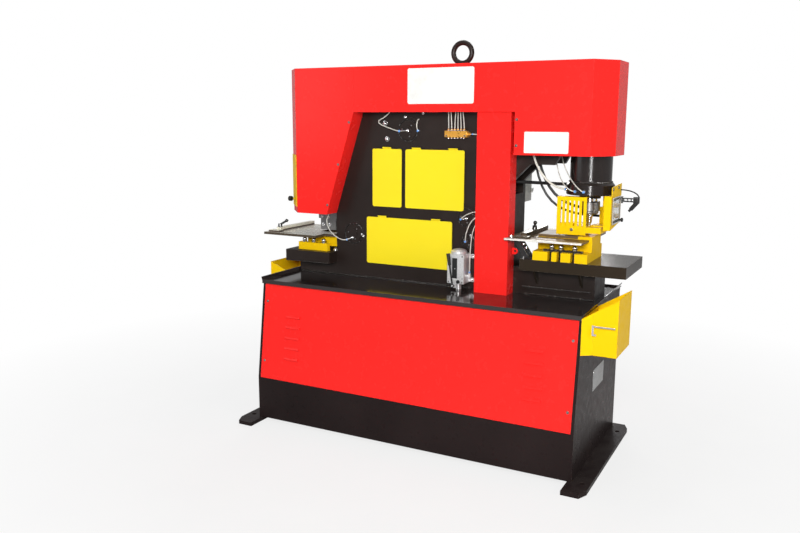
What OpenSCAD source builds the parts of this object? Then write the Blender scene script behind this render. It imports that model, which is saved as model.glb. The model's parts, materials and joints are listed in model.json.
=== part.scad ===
// Hydraulic ironworker: punching station on the right, notching station on the left,
// section and flat-bar shears between two frame plates, on a sheet-metal base.
// Millimetres. X runs along the machine, -Y is the side with the service windows, +Z is up.
// The origin is on the floor, at the centre of the four anchor holes.
// The feature that takes the most skill is the shear_beam: one plate that reaches every
// station through the slots of the frame, hung on one pin and driven by the rod behind it.

/* [Anchoring] */
// Distance between the anchor holes along the machine
anchor_x = 1790; // [1780:5:1800]
// Distance between the anchor holes across the machine
anchor_y = 680; // [600:10:720]
// Anchor hole diameter
anchor_d = 24; // [18:1:26]

/* [Base cabinet] */
// Length over the end plates
base_l = 1702; // [1700:2:1706]
// Height of the end plates above the floor
base_h = 750; // [748:1:750]
// Height of the fold where the front starts to lean back
kink_h = 240; // [200:10:280]
// How far the top of the front stands back
setback = 68; // [50:2:80]
// End plate thickness
end_t = 14; // [10:1:16]

/* [Frame] */
// Thickness of each frame plate
plate_t = 30; // [25:1:32]
// Distance from the punching axis to the throat wall
throat = 355; // [300:5:365]

/* [Covers] */
// Overall height of the covers above the floor
cover_top = 1850; // [1840:1:1860]
// Sheet thickness of the covers
sheet = 3; // [2:0.5:4]

/* [Moving parts] */
// Radial clearance of the running fits
run = 0.05; // [0.02:0.01:0.1]
// Radius of the shear beam's main pivot pin
pivot_r = 40; // [35:1:42]
// Radius of the punch ram's rod
rod_r = 34; // [30:1:36]

/* [Hidden] */
$fn = 48;

front_y = -350;
rear_y = 430;
frame_y = 50;
frame_d = 200;
frame_rear = frame_y + frame_d;
mid_y = frame_y + frame_d / 2;
cover_y = -50;
cover_rear = 350;
foot_t = 20;
half_l = base_l / 2;
tray_z = base_h + 3;
left_bolster_z = 819;
left_bolster_h = 62;
right_bolster_z = 883;
right_bolster_h = 54;
left_top = left_bolster_z + left_bolster_h;
right_top = right_bolster_z + right_bolster_h;
frame_top = 1800;
throat_top = 1380;
throat_cut = 88;
web_top = 1230;
frame_left = -603;
punch_x = 748;
throat_x = punch_x - throat;
barrel_r = 97;
neck_r = 85;
pivot = [160, 1108];
trunnion = [-168, 1534];
rod_pin = [-168, 1150];
beam_y0 = mid_y - 45;
beam_y1 = mid_y + 45;
window_small = [-374, -203, 1139, 1439];
window_large = [-181, 146, 1139, 1439];
window_lower = [-410, 85, 834, 1082];
window_lip = 14;
notch_x0 = -745;
notch_x1 = -645;

module block(x0, x1, y0, y1, z0, z1) {
    translate([x0, y0, z0]) cube([x1 - x0, y1 - y0, z1 - z0]);
}
module bar_x(r, y, z, x0, x1) {
    translate([x0, y, z]) rotate([0, 90, 0]) cylinder(r = r, h = x1 - x0);
}
module bar_y(r, x, z, y0, y1) {
    translate([x, y1, z]) rotate([90, 0, 0]) cylinder(r = r, h = y1 - y0);
}
module bar_z(r, x, y, z0, z1) {
    translate([x, y, z0]) cylinder(r = r, h = z1 - z0);
}
// An outline in the XZ plane, made solid from y0 to y1.
module slab_xz(y0, y1) {
    translate([0, y1, 0]) rotate([90, 0, 0]) linear_extrude(y1 - y0) children();
}
// An outline in the YZ plane, made solid from x0 to x1.
module slab_yz(x0, x1) {
    translate([x0, 0, 0]) rotate([90, 0, 90]) linear_extrude(x1 - x0) children();
}
module box2(x0, x1, z0, z1) {
    translate([x0, z0]) square([x1 - x0, z1 - z0]);
}
module round_box2(x0, x1, z0, z1, r) {
    union() {
        translate([x0 + r, z0]) square([x1 - x0 - 2 * r, z1 - z0]);
        translate([x0, z0 + r]) square([x1 - x0, z1 - z0 - 2 * r]);
        for (x = [x0 + r, x1 - r], z = [z0 + r, z1 - r]) translate([x, z]) circle(r = r, $fn = 32);
    }
}

/* ---------- base ---------- */
module foot_plates() {
    corner = [22, 50];
    outer = 932;
    inner = 830;
    half_w = 451;
    color("black") for (s = [0, 1]) mirror([s, 0, 0]) difference() {
        linear_extrude(foot_t) polygon([[inner, -half_w], [outer - corner[0], -half_w],
            [outer, -half_w + corner[1]], [outer, half_w - corner[1]], [outer - corner[0], half_w],
                [inner, half_w]]);
        for (y = [-anchor_y / 2, anchor_y / 2]) bar_z(anchor_d / 2, anchor_x / 2, y, -1, foot_t + 1);
    }
}

top_front = front_y + setback;
module end_outline() {
    polygon([[front_y, foot_t], [front_y, kink_h], [top_front, base_h], [rear_y, base_h],
        [rear_y, foot_t]]);
}
panel_gap = 125;
panel_rise = 85;
module base_cabinet() {
    inner = half_l - end_t;
    rail = 15;
    column = 80;
    color("black") union() {
        for (s = [0, 1]) mirror([s, 0, 0]) slab_yz(inner, half_l) end_outline();
        block(-inner, inner, front_y, front_y + 4, foot_t, kink_h - 2);
        block(-inner, inner, top_front, rear_y, base_h - 8, base_h);
        block(-inner, inner, top_front, top_front + 40, base_h - rail, base_h);
        block(-inner, inner, front_y, rear_y, foot_t, foot_t + 6);
        block(-inner, inner, rear_y - 6, rear_y, foot_t, panel_gap);
        block(-inner, inner, rear_y - 6, rear_y, base_h - panel_rise, base_h);
        for (x = [-inner, inner - column]) block(x, x + column, rear_y - 6, rear_y, foot_t, base_h);
        for (x = [-420, 380]) block(x, x + 40, frame_y, frame_rear, foot_t + 6, base_h - 8);
        bin_shelf(1, -270, -20);
        bin_shelf(-1, -20, 250);
    }
}
// Bracket under a scrap bin: a ledge on an angle.
module bin_shelf(side, y0, y1) {
    mirror([side < 0 ? 1 : 0, 0, 0]) {
        block(half_l, 985, y0 + 8, y1 - 8, bin_z - 4, bin_z);
        slab_xz(y1 - 14, y1 - 8) polygon([[half_l, bin_z - 46], [half_l + 6, bin_z - 46],
            [960, bin_z - 4], [half_l, bin_z - 4]]);
    }
}
bin_z = 584;
lean = atan(setback / (base_h - kink_h));
panel_h = (base_h - 15 - kink_h) / cos(lean);
louvre_w = 86;
// One pressed louvre: a bulge that opens downwards, through the sheet.
module louvre_shell(x, z) {
    slab_yz(x, x + louvre_w) polygon([[1, z - 7], [-8, z - 7], [-8, z - 4], [-5, z + 3], [0, z + 7],
        [1, z + 7]]);
}
module louvre_gap(x, z) {
    slab_yz(x + 3, x + louvre_w - 3) polygon([[4, z - 8], [-6, z - 8], [-6, z - 4], [-3.5, z + 2],
        [0, z + 4.5], [4, z + 4.5]]);
}
module louvred_sheet(h, columns, rows) {
    places = [for (x = columns, z = rows) [x, z]];
    difference() {
        union() {
            block(-half_l + end_t, half_l - end_t, 0, sheet, 0, h);
            for (p = places) louvre_shell(p[0], p[1]);
        }
        for (p = places) louvre_gap(p[0], p[1]);
    }
}
module front_panel() {
    rows = [for (i = [0:4]) 122 + 55 * i];
    color("red") translate([0, front_y, kink_h]) rotate([-lean, 0, 0])
        louvred_sheet(panel_h, [-693, 607], rows);
}
module rear_panel() {
    rows = [for (i = [0:4]) 300 + 55 * i];
    edge = 76;
    color("red") translate([0, rear_y, 110]) rotate([0, 0, 180]) translate([0, -sheet, 0]) difference() {
        union() {
            block(-half_l + edge, half_l - edge, 0, sheet, 0, 570);
            for (x = [-693, 607], z = rows) louvre_shell(x, z);
        }
        for (x = [-693, 607], z = rows) louvre_gap(x, z);
    }
}
module drip_tray() {
    lip_y0 = top_front - 14;
    lip_y1 = rear_y + 5;
    rise = 22;
    slopes = [0.68, 0.25];
    color("black") union() {
        block(-half_l, half_l, lip_y0, lip_y1, base_h, tray_z);
        block(-half_l, half_l, lip_y0, lip_y0 + sheet, base_h - 12, tray_z + 5);
        block(-half_l, half_l, lip_y1 - sheet, lip_y1, base_h - 12, tray_z + 9);
        for (side = [0, 1]) mirror([side, 0, 0]) intersection() {
            reach = half_l + slopes[side] * 60;
            slab_xz(lip_y0, lip_y1) polygon([[half_l - 4, base_h], [half_l, base_h],
                [reach, base_h + 60], [reach - 4, base_h + 60]]);
            slab_yz(half_l - 5, half_l + 60) polygon([[lip_y0, base_h], [lip_y0, base_h + rise],
                [312, base_h + (side == 0 ? 51 : rise)], [371, base_h + 10], [lip_y1, base_h + 10],
                    [lip_y1, base_h]]);
        }
    }
}
// An open scrap bin whose top rises outwards.
module bin(y0, y1, flare, z_in, z_out) {
    x0 = half_l;
    x1 = 1000;
    x_knee = 894;
    wall = 2;
    plan = [[x0, y0 - flare], [x_knee, y0], [x1, y0], [x1, y1], [x0, y1]];
    inner = [[x0 + wall, y0 - flare + wall], [x_knee, y0 + wall], [x1 - wall, y0 + wall],
        [x1 - wall, y1 - wall], [x0 + wall, y1 - wall]];
    difference() {
        translate([0, 0, bin_z]) linear_extrude(z_out - bin_z) polygon(plan);
        translate([0, 0, bin_z + wall]) linear_extrude(z_out) polygon(inner);
        slab_xz(y0 - flare - 1, y1 + 1) polygon([[x0 - 1, z_in], [x1 + 1, z_out], [x1 + 1, z_out + 99],
            [x0 - 1, z_out + 99]]);
    }
}
module right_scrap_bin() { color("gold") bin(-270, -20, 30, 746, 838); }
module left_scrap_bin() { color("gold") mirror([1, 0, 0]) bin(-20, 250, 0, 738, 800); }
// Bar handle and drop hook on the front of the right-hand bin.
module bin_handle() {
    y = -284;
    z = 716;
    color("silver") union() {
        bar_x(4, y, z, 900, 992);
        for (x = [904, 988]) bar_y(4, x, z, y, -270);
        block(893, 901, y - 4, y + 4, z - 34, z + 6);
        block(893, 912, y - 4, y + 4, z - 40, z - 32);
    }
}
/* ---------- power pack inside the base ---------- */
module power_pack() {
    tank_top = 420;
    shaft_z = 520;
    shaft_y = -80;
    color("gray") {
        difference() {
            block(-360, 360, -200, 40, foot_t + 6, tank_top);
            block(-354, 354, -194, 34, foot_t + 12, tank_top - 6);
        }
        union() {
            block(200, 320, -130, -30, tank_top, 500);
            for (x = [225, 260, 295]) bar_z(16, x, shaft_y, 500, 590);
        }
        union() {
            bar_x(78, shaft_y, shaft_z, -120, 120);
            bar_x(86, shaft_y, shaft_z, -135, -120);
            bar_x(60, shaft_y, shaft_z, 120, 150);
            bar_x(24, shaft_y, shaft_z, -200, -135);
            block(-280, -200, -120, -40, shaft_z - 40, shaft_z + 40);
            block(-90, 90, -150, -10, tank_top, shaft_z - 60);
        }
    }
}

/* ---------- frame ---------- */
pedestal_x = -846;
module frame_outline() {
    difference() {
        polygon([[pedestal_x, tray_z], [pedestal_x, left_bolster_z], [frame_left, left_bolster_z],
            [frame_left, 1180], [-700, 1260],
                 [-700, frame_top], [640, frame_top], [640, 1450], [600, throat_top],
                 [throat_x + throat_cut, throat_top], [throat_x, throat_top - throat_cut],
                 [throat_x, right_bolster_z], [815, right_bolster_z], [815, tray_z]]);
        translate(pivot) circle(r = pivot_r);
        translate(trunnion) circle(r = 30);
    }
}
module window_hole(w, in) { round_box2(w[0] + in, w[1] - in, w[2] + in, w[3] - in, 12); }
hinge_r = 4;
hinge_y = frame_y - 8;
hinge_rise = 5.5;
ear = 6;
small_hinges = [-287];
large_hinges = [-117, 86];
lower_hinges = [-315, -5];
leaf_half = 25;
ear_gap = leaf_half + 0.3;
// Two ears and a pin for each leaf hinge above a service window.
module window_ears(w, hinges) {
    z = w[3] + hinge_rise;
    for (x = hinges) {
        for (e = [x - ear_gap - ear, x + ear_gap]) {
            block(e, e + ear, hinge_y, frame_y, z - hinge_r, z + hinge_r);
            bar_x(hinge_r, hinge_y, z, e, e + ear);
        }
        bar_x(1.5, hinge_y, z, x - ear_gap, x + ear_gap);
    }
}
module front_frame_plate() {
    color("black") union() {
        slab_xz(frame_y, frame_y + plate_t) difference() {
            frame_outline();
            for (w = [window_small, window_large, window_lower]) window_hole(w, window_lip);
        }
        window_ears(window_small, small_hinges);
        window_ears(window_large, large_hinges);
        window_ears(window_lower, lower_hinges);
    }
}
angle_seat = [-5, 1255];
angle_side = 104;
round_hole = [-300, 1265];
square_hole = [-300, 1345];
flat_z = 960;
flat_x0 = -420;
flat_x1 = -80;
module rear_frame_plate() {
    color("black") slab_xz(frame_rear - plate_t, frame_rear) difference() {
        frame_outline();
        translate(angle_seat) rotate(45) square(angle_side + 18, center = true);
        translate(round_hole) circle(r = 24);
        translate(square_hole) square(42, center = true);
        box2(flat_x0, flat_x1, flat_z, flat_z + 46);
    }
}
module frame_webs() {
    y0 = frame_y + plate_t;
    y1 = frame_rear - plate_t;
    web = 37;
    color("black") {
        block(pedestal_x, 815, y0, y1, tray_z, tray_z + web);
        block(-700, 640, y0, y1, frame_top - 60, frame_top);
        block(throat_x - 60, throat_x, y0, y1, tray_z + web, web_top);
        block(765, 815, y0, y1, tray_z + web, right_bolster_z);
        block(560, 640, y0, y1, 1480, frame_top - 60);
        block(pedestal_x, pedestal_x + 50, y0, y1, tray_z + web, left_bolster_z);
        block(flat_x0, flat_x1, beam_y1 + 0.5, y1, flat_z - 60, flat_z);
    }
}
// A bolster slab, with three gussets under its front overhang.
module bolster(x0, x1, z, h, ribs) {
    y0 = -30;
    y1 = 330;
    union() {
        block(x0, x1, y0, y1, z, z + h);
        for (x = ribs) {
            slab_yz(x, x + 12) polygon([[frame_y, z], [y0 + 15, z], [frame_y, z - 75]]);
            slab_yz(x, x + 12) polygon([[frame_rear, z], [y1 - 15, z], [frame_rear, z - 75]]);
        }
    }
}
module left_bolster() {
    color("black") bolster(-886, frame_left, left_bolster_z, left_bolster_h, []);
}
module right_bolster() {
    color("black") difference() {
        bolster(470, 972, right_bolster_z, right_bolster_h, [530, 748]);
        bar_z(45, punch_x, mid_y, right_bolster_z - 1, right_top + 1);
    }
}

/* ---------- top covers ---------- */
seam_l = -433;
seam_r = 433;
fold_x = 790;
end_x = 888;
end_r = 877;
fold_depth = 110;
module cover_plan(s, in) {
    e = sign(s);
    fold = fold_x - in / 2;
    side = (e > 0 ? end_r : end_x) - in;
    y0 = cover_y + in;
    y1 = cover_rear - in;
    turn = fold_depth - in / 2;
    polygon([[s, y0], [e * fold, y0], [e * side, y0 + turn], [e * side, y1 - turn], [e * fold, y1],
        [s, y1]]);
}
module left_silhouette(in) {
    z0 = in > 0 ? 1000 : 1090;
    foot = (in > 0 ? -630.5 : -602) - in;
    seam = seam_l + (in > 0 ? 9 : 0);
    far = -end_x - 1;
    polygon([[far, z0], [foot, z0], [seam_l - in, 1624], [seam, 1624], [seam, cover_top - in],
        [far, cover_top - in]]);
}
guard_x = -end_x - 0.3;
guard_y = 80;
guard_stud_z = 1270;
module left_cover() {
    color("red") union() {
        difference() {
            intersection() {
                translate([0, 0, 1090]) linear_extrude(cover_top - 1090) cover_plan(seam_l, 0);
                slab_xz(cover_y - 1, cover_rear + 1) left_silhouette(0);
            }
            intersection() {
                translate([0, 0, 1000]) linear_extrude(cover_top) cover_plan(seam_l + 9, sheet);
                slab_xz(cover_y + sheet, cover_rear - sheet) left_silhouette(sheet);
            }
            block(-640, -400, frame_y, frame_rear, 1080, 1640);
        }
        bar_x(3.7, guard_y, guard_stud_z, guard_x - 8, -end_x + 1);
        bar_x(8, guard_y, guard_stud_z, guard_x - 8, guard_x - 3.5);
    }
}
module right_cover() {
    z0 = 1427;
    color("red") difference() {
        translate([0, 0, z0]) linear_extrude(cover_top - z0) cover_plan(seam_r, 0);
        difference() {
            translate([0, 0, 1400]) linear_extrude(cover_top - 1400 - sheet) cover_plan(seam_r - 9, sheet);
            block(seam_r - 9, seam_r + sheet, cover_y, frame_y, 1400, 1624);
            block(seam_r - 9, seam_r + sheet, frame_rear, cover_rear, 1400, 1624);
        }
    }
}
eye_x = 81;
module centre_cover() {
    x0 = seam_l + 1;
    x1 = seam_r - 1;
    z0 = 1624;
    flanges = [[x0, -340], [-60, 20], [165, post_x0 - 1], [post_x1 + 1, x1]];
    color("red") difference() {
        union() {
            difference() {
                block(x0, x1, cover_y, cover_rear, z0, cover_top);
                block(x0 - 1, x1 + 1, cover_y + sheet, cover_rear - sheet, z0 - 1, cover_top - sheet);
            }
            for (f = flanges) block(f[0], f[1], cover_y, frame_y, z0, z0 + sheet);
            block(x0, x1, frame_rear, cover_rear, z0, z0 + sheet);
        }
        bar_z(22, eye_x, mid_y, cover_top - 10, cover_top + 1);
    }
}
post_x0 = 243;
post_x1 = 413;
post_y = -38;
module post_cover() {
    lug_z = 963;
    color("red") difference() {
        union() {
            difference() {
                block(post_x0, post_x1, post_y, frame_y, tray_z, 1650);
                block(post_x0 + sheet, post_x1 - sheet, post_y + sheet, frame_y + 1, tray_z - 1, 1651);
            }
            slab_xz(frame_y - 24, frame_y - 18) union() {
                box2(post_x1 - 1, post_x1 + 12, lug_z - 16, lug_z + 16);
                translate([post_x1 + 12, lug_z]) circle(r = 16);
            }
        }
        bar_y(5.5, post_x1 + 14, lug_z, frame_y - 25, frame_y - 17);
    }
}
module lifting_eye() {
    ring_r = 49;
    wire_r = 12.5;
    ring_z = 1914;
    color("black") union() {
        translate([eye_x, mid_y, ring_z]) rotate([90, 0, 0]) rotate_extrude()
            translate([ring_r, 0]) circle(r = wire_r, $fn = 24);
        bar_z(18, eye_x, mid_y, frame_top, ring_z - ring_r);
        translate([eye_x, mid_y, cover_top + 0.5]) cylinder(r1 = 32, r2 = 24, h = 10);
    }
}

/* ---------- punching station ---------- */
module punch_cylinder() {
    color("black") difference() {
        translate([punch_x, mid_y, 0]) rotate_extrude() polygon([[0, 1226], [50, 1226], [50, 1243],
            [108, 1243], [112, 1247],
            [112, 1290], [104, 1299], [barrel_r, 1303], [barrel_r, 1440], [neck_r, 1440], [neck_r, 1720],
                [0, 1720]]);
        bar_z(rod_r + run, punch_x, mid_y, 1225, 1300);
        bar_z(72, punch_x, mid_y, 1300, 1700);
    }
}
// Split head that grips the cylinder's neck at the end of the frame.
module cylinder_clamp() {
    color("black") difference() {
        block(640, 856, frame_y, frame_rear, 1450, 1700);
        bar_z(neck_r, punch_x, mid_y, 1449, 1701);
        block(punch_x + neck_r - 5, 857, mid_y - 3, mid_y + 3, 1449, 1701);
    }
}
module punch_rod() {
    color("silver") union() {
        bar_z(rod_r, punch_x, mid_y, 1212, 1640);
        bar_z(71.5, punch_x, mid_y, 1640, 1690);
    }
}
module coupling_nut() {
    color("dimgray") difference() {
        translate([punch_x, mid_y, 0]) rotate_extrude() polygon([[0, 1150], [36, 1150], [42, 1156],
            [42, 1164], [48, 1167],
            [48, 1208], [45, 1212], [0, 1212]]);
        bar_z(16, punch_x, mid_y, 1149, 1190);
    }
}
module punch() {
    color("silver") translate([punch_x, mid_y, 0]) rotate_extrude() polygon([[0, 1066], [9, 1066],
        [9, 1104], [13, 1110],
        [16, 1140], [16, 1190], [0, 1190]]);
}
// Stripper fork: it straddles the punch and hangs from the cylinder's flange on a rear arm.
module stripper() {
    z0 = 1070;
    z1 = z0 + 28;
    boss_h = 6;
    slot = 22;
    color("gold") union() {
        difference() {
            union() {
                block(640, 830, frame_y - 2, 235, z0, z1);
                block(640, 700, frame_y - 2, frame_y + 34, z1, z1 + 16);
                block(772, 830, 90, 150, z1, z1 + boss_h);
            }
            bar_z(slot, punch_x, mid_y, z0 - 1, z1 + 1);
            block(punch_x - slot, punch_x + slot, mid_y, 236, z0 - 1, z1 + 1);
        }
        block(806, 830, 166, 235, z1, 1243);
        block(782, 806, 211, 235, z1, 1180);
    }
}
guard_x0 = 621;
guard_x1 = 761;
module front_guard() {
    z0 = 1059;
    z1 = 1237;
    y = frame_y - 5;
    slots = 6;
    pitch = 20;
    color("gold") difference() {
        union() {
            slab_xz(y, y + 3) box2(guard_x0, guard_x1, z0, z1);
            block(guard_x0, guard_x0 + 3, y, y + 60, z0, z1);
            block(guard_x0, guard_x1, y, y + 40, z1 - 3, z1);
        }
        for (i = [0:slots - 1]) slab_xz(y - 1, y + 4) {
            x = guard_x0 + 22 + pitch * i;
            box2(x - 3.5, x + 3.5, 1104, 1216);
            for (z = [1104, 1216]) translate([x, z]) circle(r = 3.5, $fn = 24);
        }
    }
}
side_x = 872;
module side_guard() {
    z0 = 1088;
    z1 = 1246;
    color("gold") difference() {
        union() {
            slab_yz(side_x - 3, side_x) polygon([[frame_y, z0], [frame_rear, z0 + 24], [frame_rear, 1294],
                [frame_y + 10, 1286], [frame_y + 10, z1], [frame_y, z1]]);
            block(side_x - 32, side_x, frame_y - 3, frame_y, z0, z1);
            for (z = [1130, 1180]) block(830, side_x - 3, 212, 234, z, z + 20);
        }
        block(side_x - 4, side_x + 1, frame_y + 30, frame_rear - 40, 1128, 1222);
        for (y = [110, 200]) bar_x(4, y, 1276, side_x - 4, side_x + 1);
    }
}
module guard_window() {
    color("lightblue") difference() {
        block(side_x, side_x + 4, frame_y + 18, frame_rear - 28, 1116, 1234);
        for (y = [frame_y + 24, frame_rear - 34], z = [1122, 1228])
            bar_x(2.5, y, z, side_x - 1, side_x + 5);
    }
}
// Slotted bar that carries the stroke sensor, with two clamp knobs at its root.
module sensor_arm() {
    z = 1216;
    holes = 3;
    color("silver") union() {
        difference() {
            block(side_x + 4, 950, 236, 242, z - 10, z + 10);
            for (i = [0:holes - 1]) {
                x = 893 + 17 * i;
                bar_y(4, x, z, 235, 243);
                bar_y(4, x + 6, z, 235, 243);
                block(x, x + 6, 235, 243, z - 4, z + 4);
            }
        }
        block(side_x, side_x + 10, 224, 250, z - 16, z + 16);
    }
}
module sensor_head() {
    color("black") union() {
        block(930, 956, 242, 264, 1200, 1230);
        translate([946, 253, 1204]) rotate([0, 40, 0]) bar_z(10, 0, 0, -44, 0);
        translate([946, 253, 1204]) rotate([0, 40, 0]) bar_z(6, 0, 0, -56, -44);
    }
}
cable_r = 3;
cable_path = [[948, 264, 1214], [948, 330, 1214], [960, 232, 1264], [side_x, 232, 1264]];
// A route is a chain of cubic curves: a start, then two handles and an end for each curve.
function part_of(p, u) = min(floor(u), (len(p) - 4) / 3);
function cubic(p, k, t) = pow(1 - t, 3) * p[k] + 3 * t * pow(1 - t, 2) * p[k + 1]
    + 3 * t * t * (1 - t) * p[k + 2]
    + pow(t, 3) * p[k + 3];
function cubic_way(p, k, t) = pow(1 - t, 2) * (p[k + 1] - p[k]) + 2 * t * (1 - t) * (p[k + 2] - p[k + 1])
    + t * t * (p[k + 3] - p[k + 2]);
function point_at(p, u) = cubic(p, 3 * part_of(p, u), u - part_of(p, u));
function way_at(p, u) = unit(cubic_way(p, 3 * part_of(p, u), u - part_of(p, u)));
function unit(v) = v / norm(v);
function side_of(d) = unit(cross(d, abs(d[2]) > 0.9 ? [1, 0, 0] : [0, 0, 1]));
// The next ring's side is the last one's, turned as little as the bend asks,
// so that the tube doesn't twist.
function carried(side, d) = unit(side - (side * d) * d);
function sides_along(ways, i, side) = i >= len(ways) ? [] :
    let (s = i == 0 ? side_of(ways[0]) : carried(side, ways[i])) concat([s], sides_along(ways, i + 1, s));
function ring(c, d, u, r, sides) = let (v = cross(d, u))
    [for (k = [0:sides - 1]) c + r * (cos(360 * k / sides) * u + sin(360 * k / sides) * v)];
// A round tube swept along a route, with so many steps on each of its curves.
module cable(path, r, steps, sides) {
    count = steps * (len(path) - 1) / 3;
    ways = [for (i = [0:count]) way_at(path, i / steps)];
    us = sides_along(ways, 0, [0, 0, 0]);
    points = [for (i = [0:count]) each ring(point_at(path, i / steps), ways[i], us[i], r, sides)];
    walls = [for (i = [0:count - 1], k = [0:sides - 1])
        [i * sides + k, (i + 1) * sides + k, (i + 1) * sides + (k + 1) % sides,
         i * sides + (k + 1) % sides]];
    ends = [[for (k = [0:sides - 1]) k], [for (k = [sides - 1:-1:0]) count * sides + k]];
    polyhedron(points = points, faces = concat(walls, ends), convexity = 6);
}
module sensor_cable() { color("black") cable(cable_path, cable_r, 16, 8); }

slot_x = [614, 658, 723];
module punch_die_holder() {
    x0 = 532;
    x1 = 792;
    z1 = 980;
    color("gold") difference() {
        union() {
            block(x0, x1, -25, 245, right_top, z1);
            block(x0, x1, frame_y + 4, 245, z1, 1000);
            block(x0, x1, frame_y + 4, 216, 1000, 1052);
        }
        for (x = slot_x) {
            block(x - 9.5, x + 9.5, -26, 16, right_top - 1, z1 + 1);
            bar_z(9.5, x, 16, right_top - 1, z1 + 1);
        }
        bar_z(14, punch_x, mid_y, right_top - 1, 1053);
    }
}
table_z = 1030;
module punch_table() {
    z1 = table_z + 8;
    color("silver") difference() {
        block(405, 778, -77, 377, table_z, z1);
        block(531, 779, frame_y + 4, 246, table_z - 1, z1 + 1);
        block(430, 760, -46, -34, table_z - 1, z1 + 1);
        block(404, post_x1 + 1, post_y - 2, frame_y + 1, table_z - 1, z1 + 1);
    }
}
module table_bracket() {
    z0 = right_top;
    foot = 6;
    color("silver") for (y = [0, 56, 290]) slab_xz(y, y + 10) polygon([[424, table_z], [448, table_z],
        [506, z0 + foot], [520, z0 + foot], [520, z0], [484, z0]]);
}
// A gauge fence: a cross slide in the table's slot, and a long bar that guides the work.
slide_gap = 0.2;
module fence(x, y_slot, y_end, z, y_lever) {
    bar_h = 22;
    difference() {
        union() {
            block(x - 34, x + 34, y_slot - 16, y_slot + 30, z + slide_gap, z + 10);
            block(x - 13, x + 13, y_slot + 30, y_end, z + slide_gap, z + bar_h);
            block(x - 16, x + 16, y_slot - 5, y_slot + 5, z - 8, z + slide_gap);
        }
        bar_z(5 + run, x, y_lever, z + 8, z + bar_h + 1);
    }
}
// Indexing clamp lever on a stud.
module clamp_lever(x, y, z, aim) {
    lean = 60;
    arm = 50;
    union() {
        bar_z(5, x, y, z - 13, z + 3);
        translate([x, y, z + 0.4]) cylinder(r1 = 13, r2 = 10, h = 18);
        translate([x, y, z + 12]) rotate([0, lean, aim]) cylinder(r = 6, h = arm, $fn = 24);
        translate([x, y, z + 12]) rotate([0, lean, aim]) translate([0, 0, arm]) sphere(r = 9.5, $fn = 24);
    }
}
fence_x = 482;
fence_lever_y = 150;
module punch_fence() { color("silver") fence(fence_x, -40, 330, table_z + 8, fence_lever_y); }
module punch_fence_lever() { color("black") clamp_lever(fence_x, fence_lever_y, table_z + 30, 290); }
// Socket bolts that hold down both die sets, with the clamp bar of the punching station.
module station_bolts() {
    y = 14;
    color("dimgray") {
        difference() {
            block(575, 762, 2, 26, 980, 988);
            for (x = slot_x) bar_z(6, x, y, 979, 989);
        }
        for (x = slot_x) union() {
            bar_z(6, x, y, right_top, 988);
            bar_z(11, x, y, 988, 1000);
            translate([x, y, 1002]) sphere(r = 10, $fn = 24);
        }
        for (x = [-795, -733, -670]) union() {
            bar_z(11, x, 23, 922, 932);
            translate([x, 23, 935]) sphere(r = 11, $fn = 24);
        }
    }
}
/* ---------- notching station ---------- */
notch_z = 973;
die_gap_x1 = -628;
module notch_die() {
    color("gold") difference() {
        union() {
            block(-828, -640, 10, 36, left_top, 922);
            block(-820, -650, 35, 245, left_top, 903);
            block(-800, frame_left - 3, 60, 240, 903, notch_z - 13);
        }
        block(notch_x0 - 2, die_gap_x1, mid_y - 41, mid_y + 41, left_top - 1, notch_z);
    }
}
module notch_table() {
    z0 = notch_z - 13;
    x1 = -609;
    color("silver") difference() {
        block(-1010, x1, -61, 361, z0, notch_z);
        block(-669, x1 + 1, -62, 30, z0 - 1, notch_z + 1);
        block(-669, x1 + 1, 270, 362, z0 - 1, notch_z + 1);
        block(notch_x0 - 2, die_gap_x1, mid_y - 41, mid_y + 41, z0 - 1, notch_z + 1);
        block(-995, -840, -36, -24, z0 - 1, notch_z + 1);
    }
}
notch_fence_x = -955;
notch_lever_y = 15;
module notch_fence() { color("silver") fence(notch_fence_x, -30, 340, notch_z, notch_lever_y); }
module notch_fence_lever() { color("black") clamp_lever(notch_fence_x, notch_lever_y, notch_z + 22, 5); }
// A bent plate that slides up and down over the folded edge of the cover.
guard_plan = [[792.9, -47.2], [888.3, 59.9], [888.3, 150], [891.3, 150], [891.3, 58.7], [795.1, -49.2]];
module notch_guard() {
    stud = 8.4;
    knob_y = 20;
    knob_z = 1157;
    color("gold") mirror([1, 0, 0]) difference() {
        union() {
            translate([0, 0, 1122]) linear_extrude(278) polygon(guard_plan);
            bar_x(5, knob_y, knob_z, 857.3, 878);
            bar_x(13, knob_y, knob_z, 876, 892);
        }
        block(888, 892, guard_y - stud / 2, guard_y + stud / 2, 1200, 1340);
    }
}
/* ---------- shear ---------- */
module beam_outline() {
    difference() {
        union() {
            polygon([[-790, 1105], [-790, 1190], [-600, 1240], [-400, 1400], [-245, 1400], [-245, 1245],
                [-100, 1245],
                     [-100, 1350], [110, 1350], [232, 1160], [110, 1030], [-60, 993], [flat_x0, 1018],
                         [-590, 1085], [-625, 1105]]);
            translate(pivot) circle(r = 86);
        }
        translate(pivot) circle(r = pivot_r + run);
        translate(rod_pin) circle(r = 28);
        translate(angle_seat) rotate(45) square(angle_side, center = true);
        translate(round_hole) circle(r = 21);
        translate(square_hole) square(36, center = true);
    }
}
module shear_beam() {
    color("dimgray") union() {
        slab_xz(beam_y0, beam_y1) beam_outline();
        slab_xz(beam_y1 - 25, beam_y1) polygon([[flat_x0 + 10, 1027], [flat_x0 + 10, 997],
            [flat_x1 - 10, 974], [flat_x1 - 10, 1004]]);
    }
}
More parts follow.
